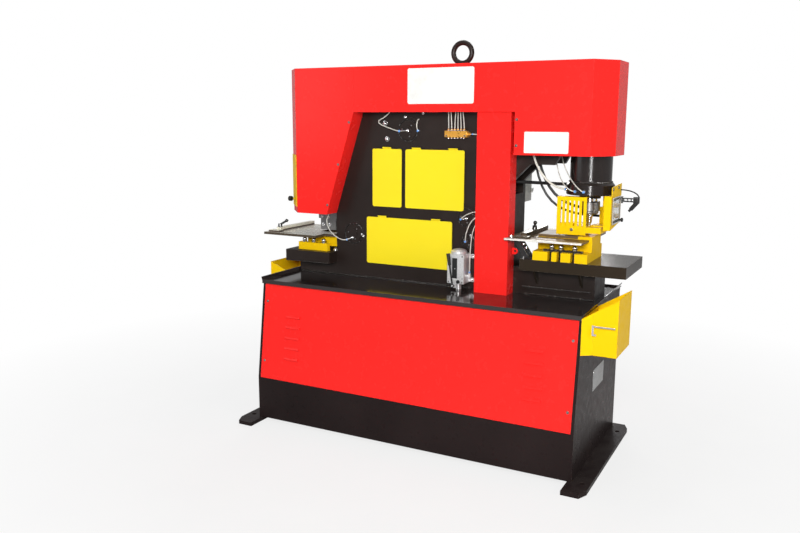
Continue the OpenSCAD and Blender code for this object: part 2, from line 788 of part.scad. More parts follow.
module notch_punch() {
    z = [985, 1047, 1086, 1105];
    color("dimgray") union() {
        block(notch_x0, notch_x1, mid_y - 40, mid_y + 40, z[0], z[1]);
        block(notch_x0 - 10, notch_x1 + 10, mid_y - 45, mid_y + 45, z[1], z[2]);
        block(notch_x0 + 15, notch_x1 - 15, mid_y - 30, mid_y + 30, z[2], z[3]);
    }
}
shear_barrel_r = 62;
module shear_cylinder() {
    color("black") difference() {
        union() {
            bar_z(shear_barrel_r, trunnion[0], mid_y, 1360, 1650);
            bar_y(30, trunnion[0], trunnion[1], frame_y, frame_rear);
        }
        bar_z(25 + run, trunnion[0], mid_y, 1359, 1390);
        bar_z(50, trunnion[0], mid_y, 1390, 1630);
    }
}
module shear_rod() {
    x = rod_pin[0];
    z = rod_pin[1];
    color("silver") union() {
        bar_z(25, x, mid_y, 1300, 1580);
        bar_z(49.5, x, mid_y, 1580, 1620);
        block(x - 34, x + 34, beam_y0 - 20, beam_y1 + 20, 1262, 1300);
        for (y = [beam_y0 - 20, beam_y1 + 2]) block(x - 34, x + 34, y, y + 18, z - 34, 1262);
        bar_y(20, x, z, beam_y0 - 20, beam_y1 + 20);
    }
}
// A stepped cap over a pin's end.
module pin_cap(x, z, r, face) {
    d = face > 0 ? 1 : -1;
    y = face > 0 ? frame_rear : frame_y;
    for (step = [[r, 0, 2], [r * 0.72, 2, 7], [r * 0.3, 7, 12]]) {
        a = y + d * step[1];
        b = y + d * step[2];
        bar_y(step[0], x, z, min(a, b), max(a, b));
    }
}
module pins() {
    caps = [[trunnion[0], trunnion[1], 66], [-492, 986, 66], [pivot[0], pivot[1], 52], [173, 993, 42]];
    color("black") {
        for (face = [-1, 1], c = caps) union() pin_cap(c[0], c[1], c[2], face);
        bar_y(pivot_r, pivot[0], pivot[1], frame_y, frame_rear);
    }
}
/* ---------- service windows ---------- */
module window_cover(w, hinges) {
    y0 = hinge_y + 1;
    y1 = y0 + 3;
    z = w[3] + hinge_rise;
    half = leaf_half;
    difference() {
        union() {
            slab_xz(y0, y1) round_box2(w[0], w[1], w[2], w[3], 10);
            for (x = hinges) {
                bar_x(hinge_r, hinge_y, z, x - half, x + half);
                block(x - half, x + half, y0, y1, z - 8, z);
            }
        }
        for (x = hinges) bar_x(1.5 + run, hinge_y, z, x - half - 1, x + half + 1);
    }
}
module small_window_cover() { color("yellow") window_cover(window_small, small_hinges); }
module large_window_cover() { color("yellow") window_cover(window_large, large_hinges); }
module lower_window_cover() { color("yellow") window_cover(window_lower, lower_hinges); }

/* ---------- lubrication ---------- */
module grease_block() {
    y = frame_y - 13;
    x0 = 46;
    x1 = 163;
    z0 = 1504;
    z1 = 1534;
    color("goldenrod") union() {
        block(x0, x1, frame_y - 26, frame_y, z0, z1);
        for (i = [0:outlets - 1]) {
            x = outlet_x0 + outlet_pitch * i;
            bar_z(5.5, x, y, z1, z1 + 9);
            bar_z(4, x, y, z0 - 4, z0);
        }
        translate([x1, y, 1519]) rotate([0, 90, 0]) cylinder(r = 9, h = 12, $fn = 6);
        bar_x(5, y, 1519, x1 + 12, 181);
    }
}
lub_pivot = [131, 776];
lever_y0 = -51;
lever_y1 = -42;
module lubricator() {
    body = [98, 186];
    front = -36;
    foot_z = 786;
    cap_z = 932;
    ear_x = 200;
    bottle = [143, 4];
    color("silver") union() {
        difference() {
            block(body[0], body[1], front, frame_y, foot_z, cap_z);
            slab_xz(front - 1, front + 4) round_box2(126, 150, 806, 908, 11.9);
        }
        for (x = [131, 145]) bar_z(4.5, x, front + 4, 806, 900);
        for (z = [796, 917]) {
            block(body[1], ear_x, frame_y - 6, frame_y, z - 9, z + 9);
            difference() {
                bar_y(11, ear_x, z, frame_y - 6, frame_y);
                bar_y(5, ear_x, z, frame_y - 7, frame_y + 1);
            }
        }
        translate([bottle[0], bottle[1], cap_z]) rotate_extrude() polygon([[0, 0], [36, 0], [40, 4],
            [40, 13], [30, 21], [14, 25], [0, 26]]);
        bar_z(14, bottle[0], bottle[1], tray_z, foot_z);
        bar_z(7, 152, -18, 762, foot_z);
        block(lub_pivot[0] - 12, lub_pivot[0] + 12, front, -20, 764, foot_z);
        bar_y(4, lub_pivot[0], lub_pivot[1], lever_y0 - 2, front);
        bar_x(7, 6, 822, body[1], 200);
        bar_z(7, 200, 6, 815, 836);
    }
}
module lubricator_lever() {
    hub_r = 9;
    lean = -9;
    y = (lever_y0 + lever_y1) / 2;
    color("black") difference() {
        union() {
            bar_y(hub_r, lub_pivot[0], lub_pivot[1], lever_y0, lever_y1);
            translate([lub_pivot[0], y, lub_pivot[1]]) rotate([0, lean, 0])
                cylinder(r = 4.5, h = 112, $fn = 24);
            translate([lub_pivot[0], y, lub_pivot[1]]) rotate([0, lean, 0]) translate([0, 0, 104])
                cylinder(r1 = 7.5, r2 = 9.5, h = 58);
        }
        bar_y(4 + run, lub_pivot[0], lub_pivot[1], lever_y0 - 1, lever_y1 + 1);
    }
}
// Each route is one cubic: start, two handles, end. The ends meet what holds them squarely.
line_r = 2.5;
flange_r = 112;
function on_flange(a, z, out) = [punch_x + (flange_r + out) * cos(a), mid_y + (flange_r + out) * sin(a), z];
line_paths = [
    [[-212, 43, 1531], [-212, 22, 1531], [-225, 20, 1533], [-254, 20, 1543],
        [-290, 20, 1555], [-370, 20, 1572], [-295, 20, 1597], [-250, 20, 1612], [-200, 10, 1720],
            [-200, frame_y, 1720]],
    [[-108, 48, 1533], [-108, 15, 1533], [-108, 15, 1590], [-108, frame_y, 1590]],
    [[137, 43, 1100], [137, 5, 1100], [180, 30, 1145], [post_x0, 30, 1145]],
    [[165, 38, 990], [165, 5, 990], [180, 20, 1120], [post_x0, 20, 1120]],
    [[200, 6, 836], [200, 6, 930], [200, 8, 1090], [post_x0, 8, 1090]],
    [[-530, 48, 950], [-530, 20, 950], [-545, 20, 947], [-570, 20, 955],
        [-630, 20, 974], [-670, 20, 1040], [-636, 20, 1078], [-615, 20, 1101], [-640, 0, 1300],
            [-640, frame_y, 1300]],
    [[181, 37, 1519], [200, 37, 1519], [225, 30, 1517], [post_x0, 30, 1517]],
    [[575, 150, 1480], [570, 150, 1330], on_flange(-110, 1262, 90), on_flange(-110, 1262, 0)],
    [[600, 140, 1480], [600, 140, 1350], on_flange(-90, 1262, 80), on_flange(-90, 1262, 0)]
];
outlets = 6;
outlet_x0 = 62;
outlet_pitch = 16.6;
outlet_tops = [68, 76, 112, 120, 128, 136];
conduit_path = [[500, frame_y, 1452], [500, -20, 1452], on_flange(-145, 1268, 130),
    on_flange(-145, 1268, 0)];
module grease_lines() {
    color("white") {
        for (p = line_paths) cable(p, line_r, len(p) > 4 ? 5 : 8, 8);
        for (i = [0:outlets - 1]) {
            x = outlet_x0 + outlet_pitch * i;
            cable([[x, 37, 1543], [x, 37, 1590], [outlet_tops[i], 5, 1690],
                [outlet_tops[i], frame_y, 1690]], line_r, 6, 8);
        }
        cable(conduit_path, 5, 12, 8);
    }
}
hose_paths = [
    [8, [[330, frame_y + plate_t, 1290], [330, 170, 1290], on_flange(178, 1286, 150), on_flange(178, 1286,
        0)]],
    [7, [[450, 185, 1740], [450, 185, 1240], [560, 223, 1165], [782, 223, 1165]]],
    [6, [[430, 204, 1740], [430, 204, 1180], [540, 223, 1135], [782, 223, 1135]]]
];
module oil_hoses() {
    color("black") for (h = hose_paths) cable(h[1], h[0], 14, 8);
}

/* ---------- operator's side ---------- */
screw_x = -180;
screw_y = frame_rear + 32;
module shear_tables() {
    y0 = frame_rear;
    deck = 24;
    color("black") {
        union() {
            block(flat_x0, flat_x1, y0, y0 + 90, flat_z - deck, flat_z);
            for (x = [flat_x0 + 10, flat_x1 - 22]) slab_yz(x, x + 12)
                polygon([[y0, flat_z - deck], [y0 + 80, flat_z - deck], [y0, flat_z - 110]]);
        }
        difference() {
            block(screw_x - 30, screw_x + 30, y0, y0 + 60, flat_z + 56, flat_z + 110);
            bar_z(10 + run, screw_x, screw_y, flat_z + 55, flat_z + 111);
        }
    }
}
// T-handled screw that holds flat stock down on the shear's table.
module holddown_screw() {
    color("silver") union() {
        bar_z(10, screw_x, screw_y, flat_z + 40, flat_z + 160);
        bar_z(16, screw_x, screw_y, flat_z + 32, flat_z + 40);
        bar_x(6, screw_y, flat_z + 150, screw_x - 60, screw_x + 60);
    }
}
box_x0 = 222;
box_x1 = 388;
box_z0 = 1180;
box_z1 = 1500;
box_y1 = frame_rear + 110;
wall = 2;
door_pin_x = box_x1 + 6;
module control_box() {
    y0 = frame_rear;
    color("lightgray") union() {
        difference() {
            block(box_x0, box_x1, y0, box_y1, box_z0, box_z1);
            block(box_x0 + wall, box_x1 - wall, y0 + wall, box_y1 + 1, box_z0 + wall, box_z1 - wall);
        }
        for (z = [1230, 1440]) {
            block(box_x1, door_pin_x, box_y1 - 10, box_y1 - 4, z - 9, z - 0.5);
            bar_z(5, door_pin_x, box_y1 - 7, z - 9, z - 0.5);
            bar_z(2.5, door_pin_x, box_y1 - 7, z - 0.5, z + 14);
        }
        block(box_x0 + 30, box_x1 - 30, y0 + wall, y0 + 40, 1220, 1420);
    }
}
module control_door() {
    y0 = box_y1 + 0.5;
    y1 = y0 + 3;
    color("lightgray") difference() {
        union() {
            block(box_x0, box_x1, y0, y1, box_z0, box_z1);
            for (z = [1230, 1440]) {
                block(box_x1 - 4, door_pin_x, y0, y1, z, z + 14);
                block(door_pin_x - 5, door_pin_x + 5, box_y1 - 7, y1, z, z + 14);
                bar_z(5, door_pin_x, box_y1 - 7, z, z + 14);
            }
            bar_y(20, 305, 1390, y1, y1 + 8);
            bar_y(9, 240, 1340, y1, y1 + 5);
        }
        for (z = [1230, 1440]) bar_z(2.5 + run, door_pin_x, box_y1 - 7, z - 1, z + 15);
        bar_y(8, 305, 1390, y0 - 1, y1 + 9);
    }
}
// Mushroom-headed stop button.
module stop_button() {
    y = box_y1 + 3.5;
    color("red") translate([305, y, 1390]) rotate([-90, 0, 0]) rotate_extrude()
        polygon([[0, -14], [7.6, -14], [7.6, 14], [19, 14], [20, 18], [20, 22], [14, 27], [0, 29]]);
}

foot_plates();
base_cabinet();
front_panel();
rear_panel();
drip_tray();
right_scrap_bin();
left_scrap_bin();
bin_handle();
power_pack();
front_frame_plate();
rear_frame_plate();
frame_webs();
left_bolster();
right_bolster();
left_cover();
centre_cover();
right_cover();
post_cover();
lifting_eye();
punch_cylinder();
cylinder_clamp();
punch_rod();
coupling_nut();
punch();
stripper();
front_guard();
side_guard();
guard_window();
sensor_arm();
sensor_head();
sensor_cable();
punch_die_holder();
punch_table();
table_bracket();
punch_fence();
punch_fence_lever();
station_bolts();
notch_die();
notch_table();
notch_fence();
notch_fence_lever();
notch_guard();
shear_beam();
notch_punch();
pins();
shear_cylinder();
shear_rod();
small_window_cover();
large_window_cover();
lower_window_cover();
grease_block();
grease_lines();
oil_hoses();
lubricator();
lubricator_lever();
shear_tables();
holddown_screw();
control_box();
control_door();
stop_button();
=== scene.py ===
"""A hydraulic ironworker in a plain studio: its camera, light and finishes, and the pieces that dress it.

Pieces are placed in millimetres: X runs along the machine, -Y is the side with the windows, and Z is up.
"""

import json
import math

import bmesh
import bpy
from mathutils import Matrix, Vector


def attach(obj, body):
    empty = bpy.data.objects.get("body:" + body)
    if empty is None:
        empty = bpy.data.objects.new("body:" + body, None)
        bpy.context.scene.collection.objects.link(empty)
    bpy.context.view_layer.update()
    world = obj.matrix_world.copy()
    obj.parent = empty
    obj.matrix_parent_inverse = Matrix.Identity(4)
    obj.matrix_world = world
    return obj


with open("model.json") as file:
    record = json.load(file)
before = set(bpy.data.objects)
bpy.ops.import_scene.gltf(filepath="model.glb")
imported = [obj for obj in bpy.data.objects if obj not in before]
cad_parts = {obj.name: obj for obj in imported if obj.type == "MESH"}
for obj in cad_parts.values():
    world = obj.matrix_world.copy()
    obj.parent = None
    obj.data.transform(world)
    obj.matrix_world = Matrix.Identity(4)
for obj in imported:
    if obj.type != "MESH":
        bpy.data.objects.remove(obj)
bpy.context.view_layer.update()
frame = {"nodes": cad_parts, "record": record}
scene = bpy.context.scene

# ------------------------------------------------------------------ camera

CAMERA_PLACE = (1.6997, -3.5973, 1.5766)
CAMERA_YAW = math.radians(27.677)
CAMERA_PITCH = math.radians(10.309)
CAMERA_ROLL = math.radians(0.216)
CAMERA_LENS = 35.79
CAMERA_SENSOR = 36.0
QUARTER = math.radians(90)

lens = bpy.data.cameras.new("camera")
lens.sensor_width = CAMERA_SENSOR
lens.lens = CAMERA_LENS
lens.clip_end = 60.0
camera = bpy.data.objects.new("camera", lens)
scene.collection.objects.link(camera)
scene.camera = camera
camera.matrix_world = (
    Matrix.Translation(CAMERA_PLACE)
    @ Matrix.Rotation(CAMERA_YAW, 4, "Z")
    @ Matrix.Rotation(QUARTER - CAMERA_PITCH, 4, "X")
    @ Matrix.Rotation(CAMERA_ROLL, 4, "Z")
)


# ------------------------------------------------------------------ shader arithmetic

class Wire:
    """A socket that takes part in plain arithmetic: each operator adds one Math node."""

    def __init__(self, tree, socket):
        self.tree = tree
        self.socket = socket

    def maths(self, operation, first, second):
        return add_node(self.tree, "ShaderNodeMath", {"operation": operation}, {0: first, 1: second})

    def __add__(self, other):
        return self.maths("ADD", self, other)

    def __mul__(self, other):
        return self.maths("MULTIPLY", self, other)

    def at_least(self, other):
        return self.maths("MAXIMUM", self, other)


def add_node(tree, kind, settings, sockets, output=0):
    """Adds a node with its settings and each socket's value or link, and returns one output as a Wire."""
    node = tree.nodes.new(kind)
    for key, value in settings.items():
        setattr(node, key, value)
    for key, value in sockets.items():
        socket = node.inputs[key]
        if isinstance(value, Wire):
            tree.links.new(value.socket, socket)
        elif isinstance(value, tuple) and socket.type == "RGBA":
            socket.default_value = (*value, 1.0)
        else:
            socket.default_value = value
    return Wire(tree, node.outputs[output]) if node.outputs else None


# ------------------------------------------------------------------ light

WHITE = (1.0, 1.0, 1.0)
COOL = (0.96, 0.98, 1.0)
WARM = (1.0, 0.985, 0.96)
AMBER = (1.0, 0.92, 0.80)
EVEN_LIGHT = 0.30
GLOSS_SHARE = 0.22


def light_studio():
    """A white backdrop that the eye, gloss and glass see, and a dimmer even light for everything else."""
    world = bpy.data.worlds.new("studio")
    scene.world = world
    world.use_nodes = True
    tree = world.node_tree
    tree.nodes.clear()
    seen = {}
    for ray in ("Is Camera Ray", "Is Glossy Ray", "Is Transmission Ray"):
        seen[ray] = add_node(tree, "ShaderNodeLightPath", {}, {}, ray)
    gloss = seen["Is Glossy Ray"] * GLOSS_SHARE
    shown = seen["Is Camera Ray"].at_least(seen["Is Transmission Ray"]).at_least(gloss)
    even = add_node(tree, "ShaderNodeBackground", {}, {"Color": COOL, "Strength": EVEN_LIGHT})
    white = add_node(tree, "ShaderNodeBackground", {}, {"Color": WHITE, "Strength": 1.0})
    both = add_node(tree, "ShaderNodeMixShader", {}, {0: shown, 1: even, 2: white})
    add_node(tree, "ShaderNodeOutputWorld", {}, {"Surface": both})


def softbox(name, place, aim, size, power, tint=WHITE, lights=True, mirrored=True):
    """An area lamp; it can be kept from lighting surfaces, or from being mirrored in them."""
    data = bpy.data.lights.new(name, "AREA")
    data.shape = "RECTANGLE"
    data.size, data.size_y = size
    data.energy = power
    data.color = tint
    lamp = bpy.data.objects.new(name, data)
    scene.collection.objects.link(lamp)
    lamp.location = place
    lamp.rotation_euler = (Vector(aim) - Vector(place)).to_track_quat("-Z", "Y").to_euler()
    lamp.visible_diffuse = lights
    lamp.visible_glossy = mirrored


scene.view_settings.view_transform = "Standard"
light_studio()
softbox("key", place=(1.75, -4.35, 2.45), aim=(0, 0, 1.0), size=(1.5, 1.1), power=190, tint=WARM)
softbox("fill", place=(-3.6, -3.0, 2.2), aim=(0, 0, 0.9), size=(2.4, 2.0), power=34, tint=COOL)
softbox("top", place=(0.1, 0.2, 4.4), aim=(0, 0, 0.8), size=(3.0, 2.0), power=46)
softbox("strip", place=(1.70, -3.95, 1.35), aim=(0.4, 0, 1.3), size=(0.13, 1.5), power=60, lights=False)
softbox(
    "side", place=(4.4, -1.4, 1.7), aim=(0.8, 0, 0.9), size=(1.5, 1.5), power=46, tint=AMBER, mirrored=False
)
softbox("rear", place=(-1.4, 4.3, 2.9), aim=(0, 0, 1.0), size=(2.6, 1.8), power=110)


# ------------------------------------------------------------------ finishes

class Finish:
    """One material on Object coordinates, with short calls for the patterns that the finishes share."""

    def __init__(self, name, rough, metal=0.0):
        self.material = bpy.data.materials.new(name)
        self.material.use_nodes = True
        self.tree = self.material.node_tree
        self.tree.nodes.clear()
        self.shader = self.tree.nodes.new("ShaderNodeBsdfPrincipled")
        output = self.tree.nodes.new("ShaderNodeOutputMaterial")
        self.tree.links.new(self.shader.outputs[0], output.inputs["Surface"])
        self.feed("Roughness", rough)
        self.feed("Metallic", metal)
        self.place = self.node("ShaderNodeTexCoord", {}, {}, "Object")

    def node(self, kind, settings, sockets, output=0):
        return add_node(self.tree, kind, settings, sockets, output)

    def feed(self, socket, value):
        """Gives a socket of the shader a link, a number or a colour."""
        target = self.shader.inputs[socket]
        if isinstance(value, Wire):
            self.tree.links.new(value.socket, target)
        elif isinstance(value, tuple):
            target.default_value = (*value, 1.0)
        else:
            target.default_value = value

    def colour(self):
        """The link that feeds the base colour so far."""
        return Wire(self.tree, self.shader.inputs["Base Color"].links[0].from_socket)

    def noise(self, scale, detail=3.0, rough=0.5, grain=(1.0, 1.0, 1.0)):
        """Cloudy noise; a grain of (1, 1, 0.1) draws it out along Z."""
        place = self.node("ShaderNodeMapping", {}, {"Vector": self.place, "Scale": grain})
        sockets = {"Vector": place, "Scale": scale, "Detail": detail, "Roughness": rough}
        return self.node("ShaderNodeTexNoise", {}, sockets, "Fac")

    def cells(self, scale):
        """The distance to the nearest of a scatter of points."""
        sockets = {"Vector": self.place, "Scale": scale}
        return self.node("ShaderNodeTexVoronoi", {"feature": "F1"}, sockets, "Distance")

    def between(self, wire, low, high, start=0.0, end=1.0):
        """Maps low..high to start..end and holds the ends."""
        sockets = {"Value": wire, "From Min": low, "From Max": high, "To Min": start, "To Max": end}
        return self.node("ShaderNodeMapRange", {}, sockets)

    def blend(self, share, first, second):
        """Mixes two colours by a share."""
        return self.node("ShaderNodeMix", {"data_type": "RGBA"}, {0: share, 6: first, 7: second}, 2)

    def along(self, axis):
        """One coordinate on the piece, in metres."""
        return self.node("ShaderNodeSeparateXYZ", {}, {0: self.place}, axis)

    def level(self):
        """1 where the surface faces straight up, 0 where it is upright."""
        normal = self.node("ShaderNodeTexCoord", {}, {}, "Normal")
        up = self.node("ShaderNodeSeparateXYZ", {}, {0: normal}, "Z")
        return self.between(up, 0.4, 0.95)

    def rounded(self, radius):
        """The normal as if every edge had this radius, in metres."""
        return self.node("ShaderNodeBevel", {"samples": 4}, {"Radius": radius})

    def corners(self, radius=0.003):
        """1 along sharp edges, 0 on flat and gently curved places."""
        geometry = self.node("ShaderNodeNewGeometry", {}, {}, "Normal")
        both = {0: geometry, 1: self.rounded(radius)}
        likeness = self.node("ShaderNodeVectorMath", {"operation": "DOT_PRODUCT"}, both, "Value")
        return self.between(likeness, 0.995, 0.93)

    def relief(self, height, strength, depth, edge=0.001):
        """Small bumps over softly rounded edges."""
        sockets = {"Height": height, "Strength": strength, "Distance": depth, "Normal": self.rounded(edge)}
        self.feed("Normal", self.node("ShaderNodeBump", {}, sockets))


def tinted(colour, factor):
    return tuple(min(1.0, value * factor) for value in colour)


DUST = (0.42, 0.39, 0.35)
PRIMER = (0.10, 0.09, 0.085)
RUST = (0.30, 0.16, 0.07)


def spray_paint(
    name, colour, rough, peel=0.06, wear=0.35, under=PRIMER, dust=0.12, tone=0.10, grime=0.25, gloss=0.35,
    edge=0.001
):
    """Sprayed paint: orange peel, soft changes of tone, rubbed edges, faint dirt, and dust on flat places."""
    paint = Finish(name, rough)
    paint.feed("Specular IOR Level", gloss)
    cloud = paint.noise(2.2, 4, 0.55)
    base = paint.blend(paint.between(cloud, 0.3, 0.7), tinted(colour, 1 - tone), tinted(colour, 1 + tone / 2))
    runs = paint.between(paint.noise(9, 5, 0.62, (1.0, 1.0, 0.22)), 0.60, 0.82, 0.0, grime)
    base = paint.blend(runs, base, tinted(colour, 0.55))
    chips = paint.corners() * paint.between(paint.noise(90, 3, 0.6), 0.52, 0.68) * wear
    base = paint.blend(chips, base, under)
    specks = paint.between(paint.cells(38), 0.035, 0.0, 0.0, 0.5) * paint.between(cloud, 0.5, 0.75)
    base = paint.blend(specks, base, under)
    settled = paint.level() * paint.between(paint.noise(14, 5, 0.65), 0.35, 0.75, 0.0, dust)
    paint.feed("Base Color", paint.blend(settled, base, DUST))
    sheen = paint.between(paint.noise(26, 4, 0.6), 0.3, 0.75, rough * 0.82, rough * 1.3)
    paint.feed("Roughness", sheen + settled * 0.8)
    paint.relief(paint.noise(420, 2, 0.5), peel, 0.0006, edge)
    return paint


def worked_steel(name, colour, rough, grain=(1.0, 1.0, 1.0), fineness=260, rust=0.0, stain=0.2, metal=1.0):
    """Machined steel: tool marks along one direction, oil stains, bright rubbed edges and a little rust."""
    steel = Finish(name, rough, metal)
    marks = steel.noise(fineness, 3, 0.6, grain)
    base = steel.blend(steel.between(marks, 0.3, 0.7), tinted(colour, 0.82), tinted(colour, 1.12))
    oily = steel.between(steel.noise(11, 5, 0.6), 0.5, 0.78, 0.0, stain)
    base = steel.blend(oily, base, tinted(colour, 0.42))
    base = steel.blend(steel.corners(0.002) * 0.5, base, tinted(colour, 1.35))
    spots = steel.between(steel.noise(34, 6, 0.7), 0.56, 0.72)
    patches = steel.between(steel.noise(6, 3, 0.5), 0.42, 0.62)
    steel.feed("Base Color", steel.blend(spots * patches * rust, base, RUST))
    steel.feed("Roughness", steel.between(steel.noise(48, 4, 0.6), 0.3, 0.8, rough * 0.75, rough * 1.45))
    steel.relief(marks, 0.10, 0.0005, 0.0008)
    return steel


def moulded_plastic(name, colour, rough, texture=0.15):
    """Moulded plastic or rubber: a fine texture, a change of tone and a little grey handling dirt."""
    plastic = Finish(name, rough)
    plastic.feed("Specular IOR Level", 0.3)
    tone = plastic.between(plastic.noise(7, 4, 0.6), 0.3, 0.75)
    base = plastic.blend(tone, tinted(colour, 0.85), tinted(colour, 1.25))
    handled = plastic.between(plastic.noise(60, 5, 0.7), 0.62, 0.8, 0.0, 0.3)
    plastic.feed("Base Color", plastic.blend(handled, base, (0.20, 0.19, 0.18)))
    plastic.feed(
        "Roughness", plastic.between(plastic.noise(30, 3, 0.5), 0.3, 0.8, rough * 0.85, rough * 1.25)
    )
    plastic.relief(plastic.noise(900, 2, 0.5), texture, 0.0003, 0.0008)
    return plastic


def clear_plate(name):
    """Clear polycarbonate with a haze of fine rubbing."""
    sheet = Finish(name, 0.06)
    sheet.feed("Base Color", (0.93, 0.96, 0.95))
    sheet.feed("Transmission Weight", 0.92)
    sheet.feed("IOR", 1.49)
    sheet.feed("Roughness", sheet.between(sheet.noise(40, 4, 0.6), 0.35, 0.75, 0.04, 0.22))
    sheet.relief(sheet.noise(300, 2, 0.5), 0.05, 0.0003)
    return sheet


STEEL_UNDER = (0.20, 0.18, 0.16)
LEVER_GLOSS = 0.7
TABLE_GLOSS = 0.25


def machine_yellow(name, grime):
    """The yellow of the guards, bins and dies."""
    return spray_paint(
        name, (0.90, 0.57, 0.004), 0.34, peel=0.04, wear=0.75, under=(0.16, 0.13, 0.10), dust=0.05,
        tone=0.05, grime=grime, gloss=0.05, edge=0.002,
    )


FINISHES = {
    "red_paint": spray_paint(
        "red_paint", (0.90, 0.020, 0.017), 0.24, peel=0.03, wear=0.30, under=(0.22, 0.03, 0.025),
        dust=0.03, tone=0.03, grime=0.04, gloss=0.14, edge=0.002,
    ),
    "yellow_paint": machine_yellow("yellow_paint", 0.14),
    "window_yellow": spray_paint(
        "window_yellow", (0.92, 0.74, 0.008), 0.40, wear=0.25, under=(0.35, 0.25, 0.02), dust=0.02,
        tone=0.03, grime=0.03
    ),
    "frame_black": spray_paint(
        "frame_black", (0.020, 0.013, 0.011), 0.36, peel=0.35, wear=0.5, under=STEEL_UNDER, dust=0.05,
        tone=0.3, grime=0.1, gloss=0.22
    ),
    "base_black": spray_paint(
        "base_black", (0.018, 0.012, 0.012), 0.30, peel=0.12, wear=0.4, under=STEEL_UNDER, dust=0.04,
        tone=0.3, grime=0.1, gloss=0.08
    ),
    "tray_black": spray_paint(
        "tray_black", (0.016, 0.011, 0.011), 0.10, peel=0.03, wear=0.35, under=STEEL_UNDER, dust=0.03,
        tone=0.2, grime=0.1, gloss=0.7
    ),
    "plate_steel": worked_steel(
        "plate_steel", (0.50, 0.44, 0.36), 0.32, (1.0, 26.0, 1.0), 70, rust=0.55, stain=0.55
    ),
    "bright_steel": worked_steel("bright_steel", (0.72, 0.72, 0.73), 0.14, (1.0, 1.0, 0.05), 300, stain=0.12),
    "tool_steel": worked_steel("tool_steel", (0.20, 0.195, 0.195), 0.36, (1.0, 1.0, 8.0), 90, stain=0.4),
    "beam_steel": spray_paint(
        "beam_steel", (0.10, 0.10, 0.105), 0.45, peel=0.3, wear=0.8, under=(0.4, 0.4, 0.4)
    ),
    "brass": worked_steel("brass", (0.86, 0.43, 0.07), 0.30, (8.0, 1.0, 1.0), 120, stain=0.35, metal=0.6),
    "lubricator_body": worked_steel(
        "lubricator_body", (0.74, 0.74, 0.75), 0.34, fineness=240, stain=0.12, metal=0.55
    ),
    "black_plastic": moulded_plastic("black_plastic", (0.014, 0.014, 0.015), 0.38),
    "cable": moulded_plastic("cable", (0.012, 0.012, 0.013), 0.42, 0.3),
    "white_tube": moulded_plastic("white_tube", (0.66, 0.65, 0.60), 0.35, 0.05),
    "tank_grey": spray_paint("tank_grey", (0.36, 0.38, 0.39), 0.42),
    "box_grey": spray_paint("box_grey", (0.52, 0.53, 0.51), 0.46, peel=0.5, wear=0.2, tone=0.05),
    "stop_red": moulded_plastic("stop_red", (0.62, 0.015, 0.012), 0.28, 0.05),
    "clear_sheet": clear_plate("clear_sheet"),
}

BLUE_COLLAR = moulded_plastic("blue_collar", (0.16, 0.38, 0.88), 0.30, 0.05)
BLANK_WHITE = moulded_plastic("blank_white", (0.80, 0.80, 0.78), 0.22, 0.03)
BLANK_GREY = worked_steel(
    "blank_grey", (0.42, 0.43, 0.44), 0.42, (26.0, 26.0, 1.0), 30, stain=0.25, metal=0.6
)


def painted_shade_sides(steel, colour):
    """Keeps a machined plate's finish on what faces up and paints shade on its sides: every upright face gets
    a darker colour.
    """
    steel.feed("Base Color", steel.blend(steel.level(), colour, steel.colour()))
    return steel


def ground_fence():
    """A fence bar of pale ground steel, with a painted shadow along its lowest centimetre."""
    steel = worked_steel(
        "ground_fence", (0.80, 0.78, 0.66), 0.34, (1.0, 26.0, 1.0), 70, rust=0.12, stain=0.25, metal=0.3
    )
    # Painted shadow: below 0.9815 m the bar is dark brown.
    pale = steel.between(steel.along("Z"), 0.9815, 0.9825)
    steel.feed("Base Color", steel.blend(pale, (0.085, 0.060, 0.045), steel.colour()))
    return steel


def die_yellow():
    """The yellow of the notching die, whose shoe behind the front bar is black."""
    paint = machine_yellow("die_yellow", 0.25)
    shoe = paint.between(paint.along("Z"), 0.9035, 0.9025) * paint.between(paint.along("Y"), 0.0362, 0.0368)
    paint.feed("Base Color", paint.blend(shoe, paint.colour(), (0.018, 0.013, 0.012)))
    return paint


def holder_yellow():
    """The punch die holder's yellow, with bare oily steel on the ground edge that stands above the table."""
    paint = machine_yellow("holder_yellow", 0.25)
    bare = paint.between(paint.along("Z"), 1.0385, 1.0395) * paint.between(paint.along("X"), 0.726, 0.724)
    paint.feed("Base Color", paint.blend(bare, paint.colour(), (0.15, 0.095, 0.045)))
    return paint


BOLT_BLACK = spray_paint(
    "bolt_black", (0.015, 0.015, 0.016), 0.25, wear=0.8, under=(0.5, 0.5, 0.5), gloss=0.5
)
LEVER_BLACK = moulded_plastic("lever_black", (0.012, 0.012, 0.013), 0.14, 0.05)
LEVER_BLACK.feed("Specular IOR Level", LEVER_GLOSS)
# Painted shade: the fence's upright faces are darker than its top.
FENCE_STEEL = painted_shade_sides(
    worked_steel(
        "fence_steel", (0.66, 0.62, 0.54), 0.26, (1.0, 26.0, 1.0), 70, rust=0.3, stain=0.4, metal=0.8
    ),
    (0.13, 0.095, 0.065),
)
# Dark brown oiled steel: partly oil stains, partly a painted reflection of dark surroundings on the top.
OILED_DARK_REFLECTION_TABLE = worked_steel(
    "oiled_dark_reflection_table", (0.19, 0.125, 0.060), 0.42, (1.0, 26.0, 1.0), 70, rust=0.35, stain=0.7, metal=0.25
)
OILED_DARK_REFLECTION_TABLE.feed("Specular IOR Level", TABLE_GLOSS)
